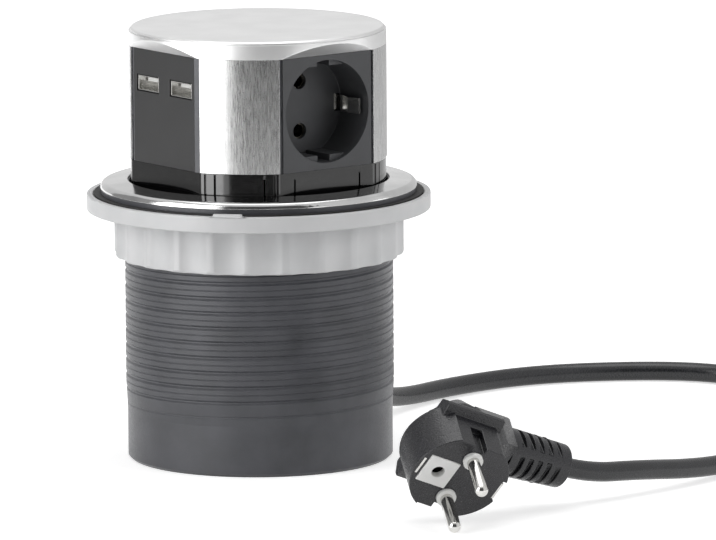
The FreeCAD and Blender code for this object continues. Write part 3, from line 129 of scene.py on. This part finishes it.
plasticLooks = {
    # polypropylene tube: dull dark grey with a soft sheen
    "mouldedPolypropylene": dict(dark="#414246", light="#4d4e53", cloudMm=13, grainMm=0.7, rough=0.36,
                                 roughSwing=0.08, relief=0.4, reliefMm=0.08, ior=1.49),
    # nylon ring and nut: milky light grey
    "mouldedNylon": dict(dark="#cfd0d1", light="#dadadb", cloudMm=18, grainMm=0.5, rough=0.45,
                         roughSwing=0.05, relief=0.15, reliefMm=0.04, ior=1.53),
    # polycarbonate faces: charcoal with a fine eroded grain
    "erodedPolycarbonate": dict(dark="#393a3c", light="#414245", cloudMm=15, grainMm=0.4, rough=0.5,
                                roughSwing=0.06, relief=0.3, reliefMm=0.05, ior=1.58),
    # the same plastic for the USB face, smoother, and darker as painted shade: its colour is lowered below
    # the socket faces' charcoal to stand for the shade that falls on the USB face
    "smoothPolycarbonateWithPaintedShade": dict(dark="#1b1b1c", light="#202021", cloudMm=15, grainMm=0.5, rough=0.42,
                                roughSwing=0.05, relief=0.15, reliefMm=0.04, ior=1.58),
    # ABS collar: piano black
    "polishedAbs": dict(dark="#080808", light="#0b0b0c", cloudMm=12, grainMm=2.5, rough=0.12,
                        roughSwing=0.02, relief=0.05, reliefMm=0.02, ior=1.54, coat=0.6),
    # PVC cord jacket and gland: soft dark grey, slightly waxy
    "flexiblePvc": dict(dark="#1f2022", light="#26272a", cloudMm=9, grainMm=0.7, rough=0.27,
                        roughSwing=0.05, relief=0.12, reliefMm=0.05, ior=1.53),
    # PVC plug moulding with a stipple that shows on its grips
    "stippledPvc": dict(dark="#141418", light="#1c1c21", cloudMm=8, grainMm=0.7, rough=0.3,
                        roughSwing=0.08, relief=0.8, reliefMm=0.2, ior=1.53),
    # glass-filled white insulation
    "whitePolyester": dict(dark="#f2f2f0", light="#fafaf8", cloudMm=6, grainMm=0.4, rough=0.35,
                           roughSwing=0.05, relief=0.1, reliefMm=0.03, ior=1.57),
    # circuit board under green solder resist: smooth with a faint weave
    "epoxyLaminate": dict(dark="#174a2b", light="#1e5a35", cloudMm=5, grainMm=0.8, rough=0.35,
                          roughSwing=0.05, relief=0.2, reliefMm=0.03, ior=1.55),
    # strap and component cases: black and slightly dull
    "blackNylon": dict(dark="#141415", light="#1a1a1b", cloudMm=6, grainMm=0.5, rough=0.4,
                       roughSwing=0.05, relief=0.15, reliefMm=0.04, ior=1.53),
    # seal: matt black that hardly catches the light
    "nitrileRubber": dict(dark="#151515", light="#1b1b1b", cloudMm=8, grainMm=0.6, rough=0.7,
                          roughSwing=0.06, relief=0.2, reliefMm=0.05, ior=1.52),
}
metalLooks = {
    # stainless sheet brushed upwards: hair lines that spread each highlight sideways
    "brushedStainless": dict(dark="#b4b4b4", light="#cfcfcf", stretch=(1, 1, 0.07), fineMm=0.3, broadMm=0.5,
                             rough=0.27, roughSwing=0.06, relief=0.14, reliefMm=0.02, sideways=0.25),
    # die-cast cap under satin lacquer
    "satinAluminium": dict(dark="#e2e2e2", light="#e9e9e9", stretch=(1, 1, 1), fineMm=0.5, broadMm=14,
                           rough=0.38, roughSwing=0.04, relief=0.08, reliefMm=0.02),
    # pressed ring, polished and faintly turned
    "polishedStainless": dict(dark="#c4c4c4", light="#d8d8d8", stretch=(1, 1, 1), fineMm=0.7, broadMm=14,
                              rough=0.14, roughSwing=0.03, relief=0.04, reliefMm=0.02),
    # plated pins, springs and port shells: bright and slightly warm
    "nickelPlate": dict(dark="#c8c7c4", light="#dcdbd8", stretch=(1, 1, 1), fineMm=0.5, broadMm=4,
                        rough=0.16, roughSwing=0.04, relief=0.08, reliefMm=0.02),
    # conductors and contact sleeves: dull grey with a brownish cast
    "tinnedBronze": dict(dark="#77726a", light="#8f8a80", stretch=(1, 1, 1), fineMm=0.5, broadMm=5,
                         rough=0.3, roughSwing=0.05, relief=0.1, reliefMm=0.02),
    # screws: grey and half matt
    "zincPlate": dict(dark="#9c9c9c", light="#b4b4b4", stretch=(1, 1, 1), fineMm=0.5, broadMm=3,
                      rough=0.32, roughSwing=0.06, relief=0.12, reliefMm=0.02),
}
finishes = {name: mouldedPlastic(name, look) for name, look in plasticLooks.items()}
finishes.update({name: metal(name, look) for name, look in metalLooks.items()})

finishOf = {
    "mouldedPolypropylene": ["threaded_tube", "bottom_cover", "guide_blocks", "cord_clamp", "inner_frame",
                             "lower_cover"],
    "mouldedNylon": ["pressure_ring", "ring_nut"],
    "erodedPolycarbonate": ["socket_front", "socket_right", "socket_back"],
    # the USB face takes the darker copy of the charcoal moulding, so its darkness is painted shade
    "smoothPolycarbonateWithPaintedShade": ["usb_panel"],
    "polishedAbs": ["base_collar"],
    "flexiblePvc": ["cord_gland", "inner_lead", "usb_leads"],
    "stippledPvc": ["plug_body", "plug_neck"],
    "whitePolyester": ["plug_pin_collars", "plug_earth_plate", "usb_tongues", "terminal_block"],
    "epoxyLaminate": ["usb_board"],
    "blackNylon": ["coil_tie", "usb_transformer", "usb_capacitors"],
    "nitrileRubber": ["ring_gasket"],
    "brushedStainless": ["metal_strip_right_back", "metal_strip_left_back", "metal_strip_left_front",
                         "metal_strip_right_front"],
    "satinAluminium": ["top_cap", "cap_disc"],
    "polishedStainless": ["trim_ring"],
    "nickelPlate": ["earth_strap_front", "earth_strap_right", "earth_strap_back", "usb_port_left",
                    "usb_port_right", "plug_pins", "plug_earth_clips", "plug_earth_sleeve"],
    "tinnedBronze": ["phase_bus", "earth_bus", "neutral_bus", "contacts_front", "contacts_right",
                     "contacts_back"],
    "zincPlate": ["cover_screws", "clamp_screws", "tie_screws", "board_screws", "terminal_screws"],
}
for finish, names in finishOf.items():
    for name in names:
        nodes[name].data.materials.clear()
        nodes[name].data.materials.append(finishes[finish])
print("finishes made")


# Moulded and pressed pieces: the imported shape, welded, with its sharp edges eased by a bevel

easedLooks = {
    "ring_nut": dict(piece="ringNut", body="ring_nut_body", slot="light_grey_moulding", edgeMm=0.45),
    "pressure_ring": dict(piece="pressureRing", body="pressure_ring_body", slot="light_grey_moulding",
                          edgeMm=0.5),
    "base_collar": dict(piece="baseCollar", body="tower", slot="black_gloss_moulding", edgeMm=0.16),
    "top_cap": dict(piece="topCap", body="tower", slot="satin_cap_metal", edgeMm=0.18),
    "cap_disc": dict(piece="capDisc", body="tower", slot="satin_cap_metal", edgeMm=0.12),
    "metal_strip_right_back": dict(piece="stripRightBack", body="tower", slot="brushed_strip_steel",
                                   edgeMm=0.16),
    "metal_strip_left_back": dict(piece="stripLeftBack", body="tower", slot="brushed_strip_steel",
                                  edgeMm=0.16),
    "metal_strip_left_front": dict(piece="stripLeftFront", body="tower", slot="brushed_strip_steel",
                                   edgeMm=0.16),
    "metal_strip_right_front": dict(piece="stripRightFront", body="tower", slot="brushed_strip_steel",
                                    edgeMm=0.16),
    "socket_front": dict(piece="socketFront", body="tower", slot="charcoal_moulding", edgeMm=0.22),
    "socket_right": dict(piece="socketRight", body="tower", slot="charcoal_moulding", edgeMm=0.22),
    "socket_back": dict(piece="socketBack", body="tower", slot="charcoal_moulding", edgeMm=0.22),
    "usb_panel": dict(piece="usbPanel", body="tower", slot="charcoal_moulding", edgeMm=0.2),
    "usb_port_left": dict(piece="usbPortLeft", body="tower", slot="nickelled_contact", edgeMm=0.08),
    "usb_port_right": dict(piece="usbPortRight", body="tower", slot="nickelled_contact", edgeMm=0.08),
    "plug_body": dict(piece="plugBody", body="housing", slot="plug_moulding", edgeMm=0.3),
    "plug_neck": dict(piece="plugNeck", body="housing", slot="plug_moulding", edgeMm=0.35),
    "plug_earth_plate": dict(piece="plugEarthPlate", body="housing", slot="white_moulding", edgeMm=0.3),
}
# flattening would fill the flat faces that a hole goes through, so these keep their triangles
ringPieces = ("ring_nut", "pressure_ring", "base_collar", "top_cap", "cap_disc")
easing = {"weldMm": 0.002, "flatDegrees": 0.4, "sharpDegrees": 30.0, "segments": 3, "smoothDegrees": 35.0}


def newObject(name, data):
    held = bpy.data.objects.new(name, data)
    bpy.context.scene.collection.objects.link(held)
    return held


def easeEdges(nodeName, look):
    piece = newObject(look["piece"], nodes[nodeName].data.copy())
    bpy.ops.object.select_all(action="DESELECT")
    piece.select_set(True)
    bpy.context.view_layer.objects.active = piece
    bpy.ops.mesh.customdata_custom_splitnormals_clear()
    bpy.ops.object.mode_set(mode="EDIT")
    bpy.ops.mesh.select_all(action="SELECT")
    bpy.ops.mesh.remove_doubles(threshold=easing["weldMm"] * mm)
    if nodeName not in ringPieces:
        bpy.ops.mesh.dissolve_limited(angle_limit=math.radians(easing["flatDegrees"]))
    bpy.ops.object.mode_set(mode="OBJECT")
    bevel = piece.modifiers.new("easedEdges", "BEVEL")
    bevel.width = look["edgeMm"] * mm
    bevel.segments = easing["segments"]
    bevel.limit_method = "ANGLE"
    bevel.angle_limit = math.radians(easing["sharpDegrees"])
    bevel.use_clamp_overlap = False
    bpy.ops.object.modifier_apply(modifier=bevel.name)
    bpy.ops.object.shade_smooth_by_angle(angle=math.radians(easing["smoothDegrees"]))
    weighted = piece.modifiers.new("flatFaces", "WEIGHTED_NORMAL")
    weighted.keep_sharp = True
    bpy.ops.object.modifier_apply(modifier=weighted.name)
    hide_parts(nodeName)
    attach(piece, look["body"])


for nodeName, look in easedLooks.items():
    easeEdges(nodeName, look)
print("edges eased on", len(easedLooks), "pieces")


# Rubber seal under the flange, wide enough to fill the channel inside the pressure ring's rim

sealLook = {"inner": 51.9, "outer": 62.7, "top": 102.0, "thick": 0.7, "corners": 128}


def rubberSeal():
    bpy.ops.object.select_all(action="DESELECT")
    bpy.ops.mesh.primitive_circle_add(vertices=sealLook["corners"], radius=sealLook["inner"] * mm,
                                      location=(0, 0, sealLook["top"] * mm))
    seal = bpy.context.object
    seal.name = "rubberSeal"
    bpy.ops.object.transform_apply(location=True, rotation=True, scale=True)
    bpy.ops.object.mode_set(mode="EDIT")
    bpy.ops.mesh.select_all(action="SELECT")
    bpy.ops.mesh.extrude_region_move()
    wider = sealLook["outer"] / sealLook["inner"]
    bpy.ops.transform.resize(value=(wider, wider, 1), center_override=(0, 0, sealLook["top"] * mm))
    bpy.ops.mesh.select_all(action="SELECT")
    bpy.ops.mesh.extrude_region_move(TRANSFORM_OT_translate={"value": (0, 0, -sealLook["thick"] * mm)})
    bpy.ops.mesh.select_all(action="SELECT")
    bpy.ops.mesh.normals_make_consistent(inside=False)
    bpy.ops.object.mode_set(mode="OBJECT")
    bpy.ops.object.shade_smooth_by_angle(angle=math.radians(easing["smoothDegrees"]))
    seal.data.materials.append(finishes["nitrileRubber"])
    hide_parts("ring_gasket")
    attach(seal, "housing")


rubberSeal()
print("seal laid")


# Mains cord: one jacket from the gland to the plug, by way of the coil of its put-away length

cordLook = {
    "diameter": 7.5, "gland": (23.0, 74.5, 10.0), "firstRun": 13.0,
    "outPoints": [(99.5, 44.0, 4.6), (137.9, 57.6, 3.75), (177.8, 58.2, 3.75), (214.3, 40.1, 3.75),
                  (234.8, 18.9, 3.75), (239.5, -7.5, 3.75), (230.3, -31.4, 3.75)],
    "outLastRun": 29.0, "inFirstRun": 19.0,
    "inPoints": [(147.0, -130.6, 6.2), (122.8, -142.9, 3.75), (91.6, -150.8, 5.2), (60.5, -155.4, 9.0)],
    "inLastRun": 13.0, "stepsAlong": 8, "stepsRound": 6,
}
coilLook = {"at": (220.7, -122.5), "outerRadius": 48.2, "step": 8.2, "turns": 4, "layer": 8.0, "low": 4.65,
            "climbTurns": 0.5, "startAzimuth": 143.0, "perTurn": 16}
plugLook = {"faceAt": (-34.2, -168.8, 18.45), "outlet": (0.9127, -0.1770, -0.3684),
            "pinLine": (0.1945, -0.6047, 0.7723), "neckStart": 24.0, "neckDepth": 26.5, "neckLength": 27.5,
            "neckTilt": 6.0}


def coilPoint(turns):
    # a place on the coil and the way that the cord runs there: inwards below, a climb, then outwards on top
    half = coilLook["turns"] / 2
    inward = turns <= half
    radius = coilLook["outerRadius"] - coilLook["step"] * (turns if inward else coilLook["turns"] - turns)
    climb = min(max((turns - half) / coilLook["climbTurns"] + 0.5, 0.0), 1.0)
    height = coilLook["low"] + coilLook["layer"] * climb * climb * (3 - 2 * climb)
    azimuth = math.radians(coilLook["startAzimuth"]) + 2 * math.pi * turns
    out = Vector((math.cos(azimuth), math.sin(azimuth), 0))
    slope = coilLook["step"] / (2 * math.pi) * (-1 if inward else 1)
    heading = (Vector((-math.sin(azimuth), math.cos(azimuth), 0)) * radius + out * slope).normalized()
    return Vector((*coilLook["at"], 0)) + out * radius + up * height, heading


def plugFrame():
    # the plug's own axes: X out of the neck, Y along the pin line, Z along the pins
    x = Vector(plugLook["outlet"]).normalized()
    z = x.cross(Vector(plugLook["pinLine"])).normalized()
    turn = Matrix((x, z.cross(x), z)).transposed().to_4x4()
    return Matrix.Translation(Vector(plugLook["faceAt"])) @ turn


def cordRoute():
    azimuth, reach, height = cordLook["gland"]
    way = Vector((math.cos(math.radians(azimuth)), math.sin(math.radians(azimuth)), 0))
    start = way * reach + up * height
    tilt = math.radians(plugLook["neckTilt"])
    neckWay = Vector((math.cos(tilt), 0, -math.sin(tilt)))
    neckEnd = Vector((plugLook["neckStart"], 0, -plugLook["neckDepth"])) + neckWay * plugLook["neckLength"]
    place = plugFrame()
    end, endWay = place @ neckEnd, place.to_3x3() @ neckWay
    first, firstWay = coilPoint(0.0)
    last, lastWay = coilPoint(float(coilLook["turns"]))
    lead = cordLook["diameter"]
    into, away = first - firstWay * lead, last + lastWay * lead
    points = [start, start + way * cordLook["firstRun"]] + [Vector(p) for p in cordLook["outPoints"]]
    points += [into - firstWay * cordLook["outLastRun"], into]
    steps = coilLook["turns"] * coilLook["perTurn"]
    points += [coilPoint(coilLook["turns"] * i / steps)[0] for i in range(steps + 1)]
    points += [away, away + lastWay * cordLook["inFirstRun"]] + [Vector(p) for p in cordLook["inPoints"]]
    points += [end + endWay * cordLook["inLastRun"], end]
    return [p * mm for p in points]


def mainsCord():
    points = cordRoute()
    curve = bpy.data.curves.new("mainsCord", "CURVE")
    curve.dimensions = "3D"
    spline = curve.splines.new("NURBS")
    spline.points.add(len(points) - 1)
    for point, at in zip(spline.points, points):
        point.co = (*at, 1)
    spline.order_u = 3
    spline.use_endpoint_u = True
    spline.resolution_u = cordLook["stepsAlong"]
    curve.bevel_depth = cordLook["diameter"] / 2 * mm
    curve.bevel_resolution = cordLook["stepsRound"]
    curve.use_fill_caps = True
    cord = newObject("mainsCord", curve)
    curve.materials.append(finishes["flexiblePvc"])
    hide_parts("cord_out", "cord_coil", "cord_in")
    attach(cord, "housing")


mainsCord()
print("cord laid")


# Floor, light and camera, set out from the view: x to the right, y away, z up

cameraLook = {"turn": -37.0, "distance": 4.0, "pitch": 9.233, "roll": 0.375,
              "aim": (0.037593, 0.0, 0.071007), "pixelLens": 10503.97, "widthPx": 716, "sensorMm": 36.0,
              "clipEnd": 50.0}
viewTurn = Matrix.Rotation(math.radians(cameraLook["turn"]), 4, "Z")
# lamps give the light that falls on the tower; azimuth 0 is the camera's side and 90 is to its right
lampAim = (0, 0, 0.09)
lampLooks = {
    "keyLamp": dict(azimuth=-62.0, away=1.6, height=0.75, size=(1.0, 1.3), watts=15.0),
    "fillLamp": dict(azimuth=68.0, away=1.6, height=0.6, size=(0.8, 1.2), watts=9.5),
    "topLamp": dict(azimuth=180.0, away=0.25, height=1.5, size=(1.2, 1.0), watts=7.0),
}
# cards stand on the floor round the tower, from white to near black, and are seen only as reflections
cardLooks = {
    "keyCard": dict(azimuth=-53.0, half=23.0, glow=4.5),
    "blackCard": dict(azimuth=5.0, half=30.0, glow=0.08),
    "fillCard": dict(azimuth=68.0, half=20.0, glow=0.85),
    "leftCard": dict(azimuth=-104.0, half=24.0, glow=0.35),
    "backCard": dict(azimuth=138.0, half=34.0, glow=0.68),
}
cardRing = {"radius": 0.62, "height": 0.62, "steps": 12}
floorLook = {"half": 6.0, "colour": "#f4f4f4", "nearLift": 0.55, "farLift": 1.0, "near": 0.2, "far": 0.7,
             "ambient": 0.30}


def seenDirectly(tree):
    # 1 where the camera looks, straight or by way of a mirror or glass
    seen = addNode(tree, "ShaderNodeLightPath")
    direct = addNode(tree, "ShaderNodeMath", operation="MAXIMUM",
                     links={0: seen.outputs["Is Camera Ray"], 1: seen.outputs["Is Glossy Ray"]})
    either = addNode(tree, "ShaderNodeMath", operation="MAXIMUM",
                     links={0: direct.outputs[0], 1: seen.outputs["Is Transmission Ray"]})
    return either.outputs[0]


def layFloor():
    bpy.ops.object.select_all(action="DESELECT")
    bpy.ops.mesh.primitive_plane_add(size=2 * floorLook["half"], location=(0, 0, 0))
    floor = bpy.context.object
    floor.name = "studioFloor"
    material, tree = startMaterial("whiteStudioPaper")
    place = addNode(tree, "ShaderNodeTexCoord").outputs["Object"]
    paper = addNode(tree, "ShaderNodeBsdfDiffuse", {"Color": linear(floorLook["colour"])})
    reach = addNode(tree, "ShaderNodeVectorMath", links={0: place}, operation="LENGTH")
    lift = addNode(tree, "ShaderNodeMapRange",
                   {"From Min": floorLook["near"], "From Max": floorLook["far"],
                    "To Min": floorLook["nearLift"], "To Max": floorLook["farLift"]},
                   {"Value": reach.outputs["Value"]}, interpolation_type="SMOOTHSTEP")
    strength = addNode(tree, "ShaderNodeMath", links={0: seenDirectly(tree), 1: lift.outputs["Result"]},
                       operation="MULTIPLY")
    glow = addNode(tree, "ShaderNodeEmission", links={"Strength": strength.outputs[0]})
    both = addNode(tree, "ShaderNodeAddShader", links={0: paper.outputs[0], 1: glow.outputs[0]})
    addNode(tree, "ShaderNodeOutputMaterial", links={"Surface": both.outputs[0]})
    floor.data.materials.append(material)


def lightWorld():
    world = bpy.data.worlds.new("studioWorld")
    bpy.context.scene.world = world
    world.use_nodes = True
    tree = world.node_tree
    tree.nodes.clear()
    strength = addNode(tree, "ShaderNodeMapRange", {"To Min": floorLook["ambient"], "To Max": 1.0},
                       {"Value": seenDirectly(tree)})
    sky = addNode(tree, "ShaderNodeBackground", links={"Strength": strength.outputs["Result"]})
    addNode(tree, "ShaderNodeOutputWorld", links={"Surface": sky.outputs[0]})


def aroundView(azimuth, away, height):
    turn = math.radians(azimuth)
    return Vector((away * math.sin(turn), -away * math.cos(turn), height))


def hangLamps():
    for name, look in lampLooks.items():
        lamp = bpy.data.lights.new(name, "AREA")
        lamp.shape = "RECTANGLE"
        lamp.size, lamp.size_y = look["size"]
        lamp.energy = look["watts"]
        held = newObject(name, lamp)
        at = aroundView(look["azimuth"], look["away"], look["height"])
        facing = (Vector(lampAim) - at).to_track_quat("-Z", "Y").to_matrix().to_4x4()
        held.matrix_world = viewTurn @ Matrix.Translation(at) @ facing
        held.visible_glossy = name == "topLamp"


def standCards():
    for name, look in cardLooks.items():
        bpy.ops.object.select_all(action="DESELECT")
        bpy.ops.mesh.primitive_plane_add(size=cardRing["height"], location=(0, 0, cardRing["height"] / 2),
                                         rotation=(math.radians(90), 0, 0))
        card = bpy.context.object
        card.name = name
        bpy.ops.object.transform_apply(location=True, rotation=True, scale=True)
        bpy.ops.object.mode_set(mode="EDIT")
        bpy.ops.mesh.select_all(action="SELECT")
        bpy.ops.mesh.subdivide(number_cuts=cardRing["steps"])
        bpy.ops.object.mode_set(mode="OBJECT")
        for vertex in card.data.vertices:
            share = vertex.co.x / (cardRing["height"] / 2)
            vertex.co = viewTurn @ aroundView(look["azimuth"] + look["half"] * share, cardRing["radius"],
                                              vertex.co.z)
        material, tree = startMaterial(name)
        glow = addNode(tree, "ShaderNodeEmission", {"Strength": look["glow"]})
        addNode(tree, "ShaderNodeOutputMaterial", links={"Surface": glow.outputs[0]})
        card.data.materials.append(material)
        card.visible_camera = False
        card.visible_diffuse = False
        card.visible_transmission = False
        card.visible_shadow = False


def setCamera():
    pitch, roll = math.radians(cameraLook["pitch"]), math.radians(cameraLook["roll"])
    ahead = Vector((0, math.cos(pitch), -math.sin(pitch)))
    right = Vector((1, 0, 0))
    above = Vector((0, math.sin(pitch), math.cos(pitch)))
    across = right * math.cos(roll) - above * math.sin(roll)
    upright = right * math.sin(roll) + above * math.cos(roll)
    at = Vector(cameraLook["aim"]) - ahead * cameraLook["distance"]
    placed = Matrix((across, upright, -ahead)).transposed().to_4x4()
    placed.translation = at
    data = bpy.data.cameras.new("studioCamera")
    data.sensor_width = cameraLook["sensorMm"]
    data.lens = cameraLook["pixelLens"] / cameraLook["widthPx"] * cameraLook["sensorMm"]
    data.clip_end = cameraLook["clipEnd"]
    camera = newObject("studioCamera", data)
    camera.matrix_world = viewTurn @ placed
    bpy.context.scene.camera = camera


layFloor()
lightWorld()
hangLamps()
standCards()
setCamera()
bpy.context.scene.view_settings.view_transform = "Standard"
print("floor, light and camera set")
